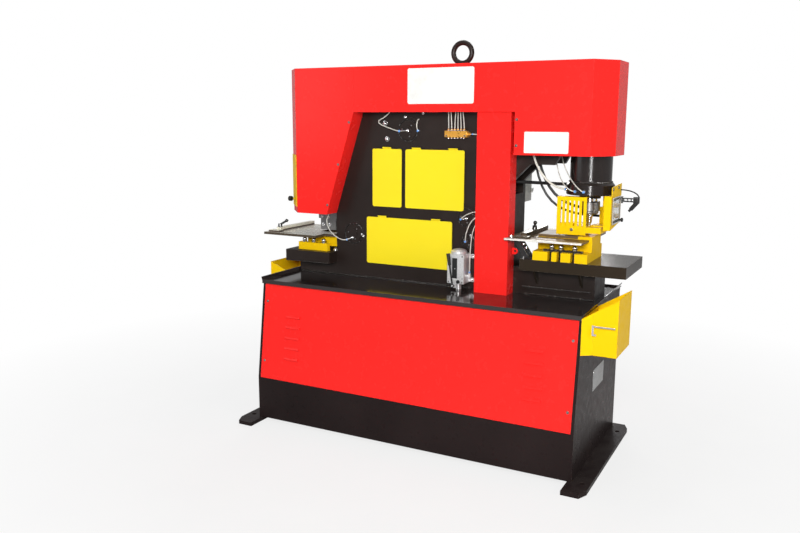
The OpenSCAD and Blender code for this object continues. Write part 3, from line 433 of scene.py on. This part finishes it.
# Painted shade: the table's upright edges are darker than its top.
POLISHED_TABLE = painted_shade_sides(
    worked_steel(
        "polished_table", (0.80, 0.78, 0.70), 0.24, (1.0, 26.0, 1.0), 60, rust=0.15, stain=0.25, metal=0.45
    ),
    (0.10, 0.075, 0.05),
)
PALE_RULE = worked_steel("pale_rule", (0.80, 0.79, 0.75), 0.40, (40.0, 1.0, 1.0), 60, stain=0.2, metal=0.15)
DARK_BRACKET = spray_paint(
    "dark_bracket", (0.020, 0.018, 0.018), 0.14, peel=0.05, wear=0.8, under=(0.5, 0.5, 0.5), gloss=0.8
)
ARM_BLACK = spray_paint("arm_black", (0.016, 0.016, 0.017), 0.30, wear=1.0, under=(0.6, 0.6, 0.6), gloss=0.4)
BARREL_BLACK = spray_paint(
    "barrel_black", (0.018, 0.013, 0.012), 0.12, peel=0.40, wear=0.5, under=STEEL_UNDER, tone=0.3,
    grime=0.1, gloss=0.5
)
BOLSTER_BLACK = spray_paint(
    "bolster_black", (0.026, 0.020, 0.015), 0.15, peel=0.12, wear=0.8, under=(0.30, 0.26, 0.22),
    dust=0.06, tone=0.3, grime=0.15, gloss=0.28,
)
# Painted reflection: an amber specular tint turns the top's reflections brown, standing in for darker
# surroundings.
BOLSTER_BLACK.feed("Specular Tint", (1.0, 0.72, 0.46))
WELD_BLACK = spray_paint(
    "weld_black", (0.020, 0.016, 0.015), 0.14, peel=1.0, wear=0.6, under=STEEL_UNDER, gloss=0.8
)
CAP_BLACK = spray_paint(
    "cap_black", (0.014, 0.012, 0.012), 0.14, peel=0.1, wear=0.8, under=(0.4, 0.4, 0.4), gloss=0.6
)
GASKET = moulded_plastic("guard_trim", (0.62, 0.60, 0.55), 0.35, 0.05)

slot_of = {part["node"]: part["material_slot"] for part in frame["record"]["subparts"]}
for name, solid in frame["nodes"].items():
    solid.data.materials.clear()
    solid.data.materials.append(FINISHES[slot_of[name]].material)

ONE_OF_A_KIND = {
    "station_bolts": BOLT_BLACK,
    "punch_fence_lever": LEVER_BLACK,
    "notch_fence_lever": LEVER_BLACK,
    "notch_fence": ground_fence(),
    "punch_fence": FENCE_STEEL,
    "punch_table": OILED_DARK_REFLECTION_TABLE,
    "notch_table": POLISHED_TABLE,
    "table_bracket": DARK_BRACKET,
    "sensor_arm": ARM_BLACK,
    "punch_cylinder": BARREL_BLACK,
    "right_bolster": BOLSTER_BLACK,
    "notch_die": die_yellow(),
    "punch_die_holder": holder_yellow(),
}
for name, finish in ONE_OF_A_KIND.items():
    frame["nodes"][name].data.materials[0] = finish.material


# ------------------------------------------------------------------ making pieces

def metres(*millimetres):
    """A point or a size in metres."""
    return Vector(millimetres) / 1000


def facing(place, direction):
    """A placement at a point in millimetres whose Z axis looks along direction."""
    turn = Vector(direction).to_track_quat("Z", "Y").to_matrix().to_4x4()
    return Matrix.Translation(metres(*place)) @ turn


def add_turned(bm, profile, at, sides=28):
    """Spins a profile of (radius, height) pairs, in millimetres, round the placement's Z axis."""
    part = bmesh.new()
    points = [part.verts.new((radius / 1000, 0, height / 1000)) for radius, height in profile]
    edges = [part.edges.new(pair) for pair in zip(points, points[1:])]
    axis = {"cent": (0, 0, 0), "axis": (0, 0, 1)}
    bmesh.ops.spin(part, geom=points + edges, angle=math.tau, steps=sides, use_merge=True, **axis)
    bmesh.ops.remove_doubles(part, verts=part.verts, dist=1e-6)
    bmesh.ops.recalc_face_normals(part, faces=part.faces)
    for face in part.faces:
        face.smooth = True
    join(bm, part, at)


def add_block(bm, low, high, radius):
    """A box between two corners in millimetres, its edges rounded."""
    part = bmesh.new()
    size = metres(*high) - metres(*low)
    middle = (metres(*high) + metres(*low)) / 2
    bmesh.ops.create_cube(part, size=1.0)
    bmesh.ops.scale(part, vec=size, verts=part.verts)
    bmesh.ops.translate(part, vec=middle, verts=part.verts)
    if radius:
        soften(part, part.edges[:], radius, 2)
    join(bm, part, Matrix())


def soften(part, items, radius, segments, affect="EDGES"):
    """Rounds edges or corners of a piece by a radius in millimetres."""
    bmesh.ops.bevel(
        part, geom=items, offset=radius / 1000, segments=segments, profile=0.5, affect=affect, material=-1
    )


def join(bm, part, at):
    """Moves a finished piece to its placement and joins it to the mesh that is being made."""
    bmesh.ops.transform(part, matrix=at, verts=part.verts)
    mesh = bpy.data.meshes.new("part")
    part.to_mesh(mesh)
    part.free()
    bm.from_mesh(mesh)
    bpy.data.meshes.remove(mesh)


CREASE = math.radians(38)


def keep(name, bm, slot, body="machine", finish=None):
    """Turns a finished mesh into a piece that rides on a body, with a slot's finish or one of its own."""
    for edge in bm.edges:
        edge.smooth = edge.calc_face_angle(math.pi) < CREASE
    mesh = bpy.data.meshes.new(name)
    bm.to_mesh(mesh)
    bm.free()
    mesh.materials.append((finish or FINISHES[slot]).material)
    piece = bpy.data.objects.new(name, mesh)
    scene.collection.objects.link(piece)
    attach(piece, body)


# ------------------------------------------------------------------ small hardware

FRONT = (0, -1, 0)
UP = (0, 0, 1)
DOWN = (0, 0, -1)
END = (1, 0, 0)
BUTTON_HEAD = [
    (0, 0), (8.4, 0), (8.4, 0.9), (6.1, 0.95), (6.0, 1.6), (5.2, 3.2), (3.6, 4.1), (2.5, 4.3), (2.3, 2.4),
    (0, 2.4),
]
ROUND_HEAD = [(0, 0), (6.0, 0), (6.0, 1.2), (5.6, 2.8), (4.5, 4.3), (2.8, 5.3), (0, 5.7)]
SOCKET_HEAD = [(0, 0), (5.6, 0), (6.0, 0.5), (6.0, 5.4), (5.5, 6.0), (3.1, 6.0), (3.0, 3.0), (0, 3.0)]
DOMED_NUT = [(0, 0), (13, 0), (13, 2), (10, 2.4), (10, 6), (9.4, 8), (7.5, 10.5), (4, 12.2), (0, 12.8)]
STUD_KNOB = [
    (0, 0), (5.0, 0), (4.6, 7), (5.5, 9), (10, 10.5), (12, 13), (12.2, 19), (11, 22), (7, 23.6), (0, 24)
]


def add_hex(bm, at, across, height):
    """A hexagon nut or bolt head with chamfered corners."""
    part = bmesh.new()
    corner = across / math.sqrt(3) / 1000
    bmesh.ops.create_cone(
        part, cap_ends=True, segments=6, radius1=corner, radius2=corner, depth=height / 1000
    )
    bmesh.ops.translate(part, vec=(0, 0, height / 2000), verts=part.verts)
    soften(part, part.edges[:], across * 0.04, 1)
    join(bm, part, at)


def fasteners(name, profile, places, direction, scale=1.0, slot="tool_steel", body="machine", finish=None):
    """The same turned head at several places."""
    bm = bmesh.new()
    scaled = [(radius * scale, height * scale) for radius, height in profile]
    for place in places:
        add_turned(bm, scaled, facing(place, direction), 22)
    keep(name, bm, slot, body, finish)


def push_fittings(name, places, direction, radius=5.5):
    """Push-in fittings: a plated hexagon with a coloured release collar where the tube goes in."""
    hexes, collars = bmesh.new(), bmesh.new()
    profile = [(0, 1.5), (0.95, 1.5), (1, 1.7), (1, 2.5), (0.8, 2.75), (0, 2.75)]
    collar = [(out * radius, height * radius) for out, height in profile]
    for place in places:
        at = facing(place, direction)
        add_hex(hexes, at, radius * 2.1, radius * 1.5)
        add_turned(collars, collar, at, 20)
    keep(name + "_hex", hexes, "bright_steel")
    keep(name + "_collar", collars, "black_plastic", finish=BLUE_COLLAR)


def weld_bead(name, path, radius, closed=False):
    """A weld bead: a half-buried rod of overlapping ripples along a path, in millimetres."""
    bm = bmesh.new()
    points = [Vector(point) for point in path]
    legs = list(zip(points, points[1:] + points[:1])) if closed else list(zip(points, points[1:]))
    for start, end in legs:
        count = max(1, round((end - start).length / (radius * 1.05)))
        for i in range(count):
            place = start.lerp(end, (i + 0.5) / count)
            ripple = bmesh.new()
            bmesh.ops.create_icosphere(ripple, subdivisions=1, radius=radius / 1000)
            bmesh.ops.scale(ripple, vec=(0.72, 1.0, 1.0), verts=ripple.verts)
            wander = 1 + 0.10 * math.sin(i * 2.3) + 0.06 * math.sin(i * 5.1)
            turn = (end - start).to_track_quat("X", "Z").to_matrix().to_4x4()
            join(bm, ripple, Matrix.Translation(place / 1000) @ turn @ Matrix.Scale(wander, 4))
    for face in bm.faces:
        face.smooth = True
    keep(name, bm, "frame_black", finish=WELD_BLACK)


# ------------------------------------------------------------------ covers and front panel

COVER_FRONT = -50
fasteners(
    "cover_screws_left", BUTTON_HEAD,
    [(-460, COVER_FRONT, 1573), (-528, COVER_FRONT, 1356), (-597, COVER_FRONT, 1141)], FRONT, 0.8,
)
fasteners("cover_screws_right", BUTTON_HEAD, [(443, COVER_FRONT, 1589), (444, COVER_FRONT, 1470)], FRONT, 0.8)


def blank_plate(name, low, high, direction, slot, finish, thickness=1.2, corner=7):
    """A blank plate with rounded corners, stood on a face."""
    low, high = Vector(low), Vector(high)
    size = high - low
    middle = (low + high) / 2
    across = size.x if direction == FRONT else size.y
    part = bmesh.new()
    bmesh.ops.create_grid(part, x_segments=1, y_segments=1, size=0.5)
    bmesh.ops.scale(part, vec=(across / 1000, size.z / 1000, 1), verts=part.verts)
    soften(part, part.verts[:], corner, 4, "VERTICES")
    extruded = bmesh.ops.extrude_face_region(part, geom=part.faces[:])
    lifted = [item for item in extruded["geom"] if isinstance(item, bmesh.types.BMVert)]
    bmesh.ops.translate(part, vec=(0, 0, thickness / 1000), verts=lifted)
    bmesh.ops.recalc_face_normals(part, faces=part.faces)
    bm = bmesh.new()
    join(bm, part, facing(middle, direction))
    keep(name, bm, slot, finish=finish)


blank_plate(
    "cover_plate", (-122, COVER_FRONT, 1663), (228, COVER_FRONT, 1833), FRONT, "red_paint", BLANK_WHITE,
    1.5, 9,
)
blank_plate(
    "side_plate", (482, COVER_FRONT, 1437), (691, COVER_FRONT, 1534), FRONT, "red_paint", BLANK_WHITE, 0.6, 5
)
blank_plate("end_plate", (851, -49, 345), (851, 149, 447), END, "base_black", BLANK_GREY, 1.0, 3)
END_RIVETS = [(852, y, z) for y in (-42, 142) for z in (352, 440)]
fasteners("end_plate_rivets", ROUND_HEAD, END_RIVETS, END, 0.45, "bright_steel")

FRONT_FOLD_Y, FRONT_FOLD_Z, BASE_SETBACK, BASE_RISE = -350, 240, 68, 510


def on_panel(x, z):
    """A point on the leaning face of the front panel."""
    return (x, FRONT_FOLD_Y + (z - FRONT_FOLD_Z) * BASE_SETBACK / BASE_RISE, z)


PANEL_OUT = (0, -BASE_RISE, BASE_SETBACK)
fasteners(
    "panel_screws", BUTTON_HEAD, [on_panel(x, z) for x in (-817, 817) for z in (332, 645)], PANEL_OUT, 0.8
)


# ------------------------------------------------------------------ frame face

FRAME_FACE = 50
fasteners(
    "frame_bolts", DOMED_NUT, [(-302, FRAME_FACE, 1569), (-290, FRAME_FACE, 1489), (-613, FRAME_FACE, 884)],
    FRONT, 1.0, "bright_steel",
)
fasteners(
    "cap_screws", SOCKET_HEAD, [(-184, 48, 1601), (-83, FRAME_FACE, 1619), (-432, FRAME_FACE, 975)], FRONT,
    1.1, "bright_steel",
)


def pin_face(name, x, y, z, radius):
    """A raised rim and three cap screws on the end of a pin."""
    bm = bmesh.new()
    section = [
        (radius, 0), (radius + 5, 0), (radius + 5, 2), (radius + 3, 4), (radius + 1, 4), (radius, 2),
        (radius, 0),
    ]
    add_turned(bm, section, facing((x, y, z), FRONT), 56)
    keep(name + "_rim", bm, "frame_black", finish=CAP_BLACK)
    bolt_circle = radius * 0.62
    places = [
        (x + bolt_circle * math.cos(angle), 43, z + bolt_circle * math.sin(angle))
        for angle in (math.radians(50 + 120 * turn) for turn in range(3))
    ]
    fasteners(name + "_cap_screws", SOCKET_HEAD, places, FRONT, 0.6)


pin_face("trunnion", -168, 48, 1534, 52)
pin_face("left_pin", -492, 48, 986, 52)
pin_face("pivot", 160, 48, 1108, 41)
pin_face("lower_pin", 173, 48, 993, 33)


def elbow(name, start, end):
    """A plated elbow that takes grease from a tube's collar into the middle of a pin."""
    bm = bmesh.new()
    length = (Vector(end) - Vector(start)).length
    section = [(0, 0), (4.6, 0), (4.6, 5), (6, 6), (6, 11), (4.2, 12), (4.2, length), (0, length)]
    add_turned(bm, section, facing(start, Vector(end) - Vector(start)), 20)
    add_hex(bm, facing((end[0], 44, end[2]), FRONT), 15, 7)
    add_turned(
        bm, [(0, 6), (4.5, 6), (5, 8), (4.6, 11), (2.5, 13), (0, 13.4)],
        facing((end[0], 44, end[2]), FRONT), 20,
    )
    keep(name + "_elbow", bm, "bright_steel")


elbow("trunnion", (-207, 37, 1531), (-168, 37, 1534))
elbow("left_pin", (-527, 37, 951), (-498, 37, 962))
elbow("pivot", (141, 37, 1101), (163, 37, 1104))
GREASE_NIPPLE = [(0, 0), (5, 0), (5, 5), (7, 6), (7, 10), (4, 11), (4, 14), (0, 15)]
NIPPLES = [(-438, FRAME_FACE, 982), (190, FRAME_FACE, 1020)]
fasteners("grease_nipple", GREASE_NIPPLE, NIPPLES, FRONT, 1.0, "bright_steel")

push_fittings(
    "face_fittings", [(-212, 43, 1531), (-108, 48, 1533), (137, 43, 1100), (165, 38, 990), (-530, 48, 950)],
    FRONT,
)
push_fittings("block_fitting", [(181, 37, 1519)], END, 4.5)
push_fittings("elbow_fitting", [(200, 6, 830)], UP)
CYLINDER_AXIS = (748, 150)
FLANGE_RADIUS = 112


def on_flange(angle, z):
    """A point on the rim of the cylinder's flange, and the direction out of it."""
    outward = Vector((math.cos(math.radians(angle)), math.sin(math.radians(angle)), 0))
    return Vector((*CYLINDER_AXIS, z)) + outward * FLANGE_RADIUS, outward


for label, angle, z in (("flange_a", -110, 1262), ("flange_b", -90, 1262), ("flange_c", -145, 1268)):
    place, outward = on_flange(angle, z)
    push_fittings(label + "_fitting", [place], outward, 6.0)

OUTLETS = [62 + 16.6 * outlet for outlet in range(6)]
OUTLET_DEPTH = 37


def outlet_nuts():
    """Union nuts on top of the grease distributor and short plugs under it."""
    bm = bmesh.new()
    union = [(0, 5), (4.4, 5), (4.8, 6), (4.8, 10), (3.4, 12), (0, 12)]
    plug = [(0, 0), (4.6, 0), (4.6, 3.6), (3.4, 5), (0, 5.4)]
    for x in OUTLETS:
        top = facing((x, OUTLET_DEPTH, 1534), UP)
        add_hex(bm, top, 12, 5)
        add_turned(bm, union, top, 18)
        add_turned(bm, plug, facing((x, OUTLET_DEPTH, 1500.5), DOWN), 16)
    keep("block_nuts", bm, "bright_steel")


outlet_nuts()
fasteners("block_screws", SOCKET_HEAD, [(56, 24, 1510), (153, 24, 1510)], FRONT, 0.7)


# ------------------------------------------------------------------ punching station

fasteners("guard_screw", BUTTON_HEAD, [(694, 45, 1084)], FRONT, 0.9)
fasteners("side_guard_screws", BUTTON_HEAD, [(872, 78, 1276), (872, 184, 1277)], END, 1.0)
fasteners("window_screws", BUTTON_HEAD, [(876, 78, 1124), (876, 78, 1226), (876, 212, 1226)], END, 0.8)
fasteners("guard_knob", STUD_KNOB, [(876, 206, 1124)], END, 0.8, "black_plastic")
fasteners("bracket_bolts", ROUND_HEAD, [(480, 0, 1007), (493, 0, 989)], FRONT, 1.4, "bright_steel")
TABLE_STOP = [(0, 0), (7, 0), (7, 3), (8.6, 4), (9, 12), (7.8, 16), (0, 17)]
fasteners("table_stop", TABLE_STOP, [(440, -67, 1038)], UP, 1.0, "bright_steel")
GUARD_ROD = [(0, 0), (7, 0), (7, 12), (4.8, 13), (4.8, 40), (6, 41), (6, 52), (4.8, 53), (4.8, 60), (0, 62)]
fasteners("guard_rod", GUARD_ROD, [(764, 95, 1098)], UP, 1.0, "bright_steel")


def window_trim():
    """A thin pale gasket round the guard's window."""
    bm = bmesh.new()
    add_block(bm, (875.6, 66, 1112), (877.4, 71, 1238), 0.6)
    add_block(bm, (875.6, 219, 1112), (877.4, 224, 1238), 0.6)
    add_block(bm, (875.6, 71, 1112), (877.4, 219, 1117), 0.6)
    add_block(bm, (875.6, 71, 1233), (877.4, 219, 1238), 0.6)
    keep("window_trim", bm, "clear_sheet", finish=GASKET)


window_trim()


RIGHT_BOLTS = (614, 658, 723)
LEFT_BOLTS = (-795, -733, -670)
BOLT_PLACES = [(x, 14, 988.5) for x in RIGHT_BOLTS] + [(x, 23, 922.5) for x in LEFT_BOLTS]
BOLT_COLLAR = [(0, 0), (12.2, 0), (12.8, 0.8), (12.8, 5), (12, 6), (0, 6)]
BOLT_DOME = [(0, 9.5), (11.6, 9.5), (12.6, 12), (12.2, 17), (9.4, 21.5), (5, 24.2), (0, 25)]
fasteners("bolt_collars", BOLT_COLLAR, BOLT_PLACES, UP, 1.0, "bright_steel")
fasteners("bolt_domes", BOLT_DOME, BOLT_PLACES, UP, 1.0, "bright_steel")
# Black sleeves round the right studs that fill the holder's slots: partly the dark studs, partly painted
# shade inside the slots.
STUD_SLEEVE = [(0, 0), (9.2, 0), (9.2, 42), (0, 42)]
fasteners(
    "dark_studs_and_slot_shade", STUD_SLEEVE, [(x, 12, 937.5) for x in RIGHT_BOLTS], UP, 1.0, "tool_steel",
    finish=BOLT_BLACK
)


RULE_LEFT, RULE_RIGHT = 407, 776
MARK_START, MARK_PITCH, MARK_COUNT = 410, 5, 73
MARK_Y, MARK_HALF = -75, 0.25


def table_scale():
    """A bright steel rule let into the front edge of the punching table, with engraved marks."""
    rule, marks = bmesh.new(), bmesh.new()
    add_block(rule, (RULE_LEFT, -77.8, 1030.4), (RULE_RIGHT, -76.8, 1037.6), 0.3)
    add_block(rule, (RULE_LEFT, -76, 1037.8), (RULE_RIGHT, -58, 1038.5), 0.2)
    for step in range(MARK_COUNT):
        x = MARK_START + MARK_PITCH * step
        reach = 12 if step % 10 == 0 else 9 if step % 5 == 0 else 6
        add_block(marks, (x - MARK_HALF, MARK_Y, 1038.45), (x + MARK_HALF, MARK_Y + reach, 1038.6), 0)
    keep("table_rule", rule, "plate_steel", finish=PALE_RULE)
    keep("rule_marks", marks, "black_plastic")


table_scale()

BARREL_RADIUS = 99
BARREL_STEPS = [math.tau * step / 24 for step in range(24)]
BARREL_RING = [
    (
        CYLINDER_AXIS[0] + BARREL_RADIUS * math.cos(turn),
        CYLINDER_AXIS[1] + BARREL_RADIUS * math.sin(turn), 1303.5,
    )
    for turn in BARREL_STEPS
]
weld_bead("barrel_weld", BARREL_RING, 4.2, closed=True)
weld_bead("right_bolster_weld", [(487, -31, 808), (815, -31, 808)], 4.5)
weld_bead("pedestal_weld_front", [(475, 48, 756), (813, 48, 756)], 4.5)
weld_bead("left_bolster_weld", [(-884, -31, 822), (-605, -31, 822)], 4.0)
weld_bead("left_pedestal_weld", [(-842, 48, 756), (240, 48, 756)], 4.5)


# ------------------------------------------------------------------ notching station

fasteners(
    "notch_punch_bolts", SOCKET_HEAD, [(-729, 105, 1057), (-687, 105, 1057)], FRONT, 1.35, "bright_steel",
    "shear_beam"
)
# The lower screws are flush, because the punch passes close to the table's edge.
FLUSH_SCREW = [(0, 0), (9.4, 0), (9.4, 0.25), (9.0, 0.55), (5.4, 0.6), (0, 0.6)]
fasteners(
    "notch_punch_screws", FLUSH_SCREW, [(-729, 110, 1012), (-687, 110, 1012)], FRONT, 1.0, "bright_steel",
    "shear_beam"
)
GUARD_KNOB = [(0, 0), (5.6, 0), (5.6, 13), (13.7, 13.5), (14, 16), (14, 28), (12.6, 30.2), (0, 30.4)]
fasteners("notch_guard_knob", GUARD_KNOB, [(-862, 20, 1157)], (-1, 0, 0), 1.0, "black_plastic", "notch_guard")


# ------------------------------------------------------------------ lubricator

LUBRICATOR_FACE = -36
LUBRICATOR_KNOB = [(0, 0), (4, 0), (4, 4), (10, 5), (11, 7), (11, 15), (9.5, 17.5), (0, 18)]
fasteners("lubricator_knob", LUBRICATOR_KNOB, [(160, LUBRICATOR_FACE, 798)], FRONT, 0.8, "black_plastic")
LUBRICATOR_SCREWS = [(x, LUBRICATOR_FACE, z) for z in (794, 924) for x in (106, 178)]
fasteners("lubricator_screws", SOCKET_HEAD, LUBRICATOR_SCREWS, FRONT, 0.65)
fasteners("ear_screws", ROUND_HEAD, [(200, 44, 796), (200, 44, 917)], FRONT, 1.0, "bright_steel")


def sight_glass():
    """A black plate painted as the shade in the sight's recess, and a plated rod, behind the pump lever."""
    back, rod = bmesh.new(), bmesh.new()
    add_block(back, (124, -36.6, 812), (151, -35, 914), 0.5)
    add_turned(
        rod, [(0, 0), (4, 0), (4, 40), (5, 41), (5, 45), (4, 46), (4, 88), (0, 90)],
        facing((138, -32.4, 818), UP), 20,
    )
    keep("sight_recess_shade", back, "black_plastic")
    keep("sight_rod", rod, "bright_steel")


sight_glass()


# ------------------------------------------------------------------ floor and size

FLOOR_WHITE = 0.78


def lay_floor():
    """A pale floor that keeps a soft shadow under the machine and turns white further out."""
    bm = bmesh.new()
    bmesh.ops.create_grid(bm, x_segments=1, y_segments=1, size=14.0)
    bmesh.ops.translate(bm, vec=(0, 0, -0.0005), verts=bm.verts)
    mesh = bpy.data.meshes.new("floor")
    bm.to_mesh(mesh)
    bm.free()
    floor = bpy.data.objects.new("floor", mesh)
    scene.collection.objects.link(floor)
    finish = Finish("floor", 0.7)
    finish.feed("Specular IOR Level", 0.1)
    cloud = finish.between(finish.noise(3, 3, 0.5), 0.3, 0.7)
    finish.feed("Base Color", finish.blend(cloud, (0.52, 0.52, 0.52), (0.56, 0.56, 0.56)))
    distance = finish.node("ShaderNodeVectorMath", {"operation": "LENGTH"}, {0: finish.place}, "Value")
    rays = ("Is Camera Ray", "Is Transmission Ray", "Is Glossy Ray")
    eye, glass, gloss = (finish.node("ShaderNodeLightPath", {}, {}, ray) for ray in rays)
    direct = eye.at_least(glass) * finish.between(distance, 1.3, 3.2, FLOOR_WHITE, 1.0)
    share = direct.at_least(gloss * 0.1)
    glow = finish.node("ShaderNodeEmission", {}, {"Color": WHITE, "Strength": 1.0})
    lit = Wire(finish.tree, finish.shader.outputs[0])
    both = finish.node("ShaderNodeMixShader", {}, {0: share, 1: lit, 2: glow})
    output = next(node for node in finish.tree.nodes if node.type == "OUTPUT_MATERIAL")
    finish.tree.links.new(both.socket, output.inputs["Surface"])
    mesh.materials.append(finish.material)


lay_floor()
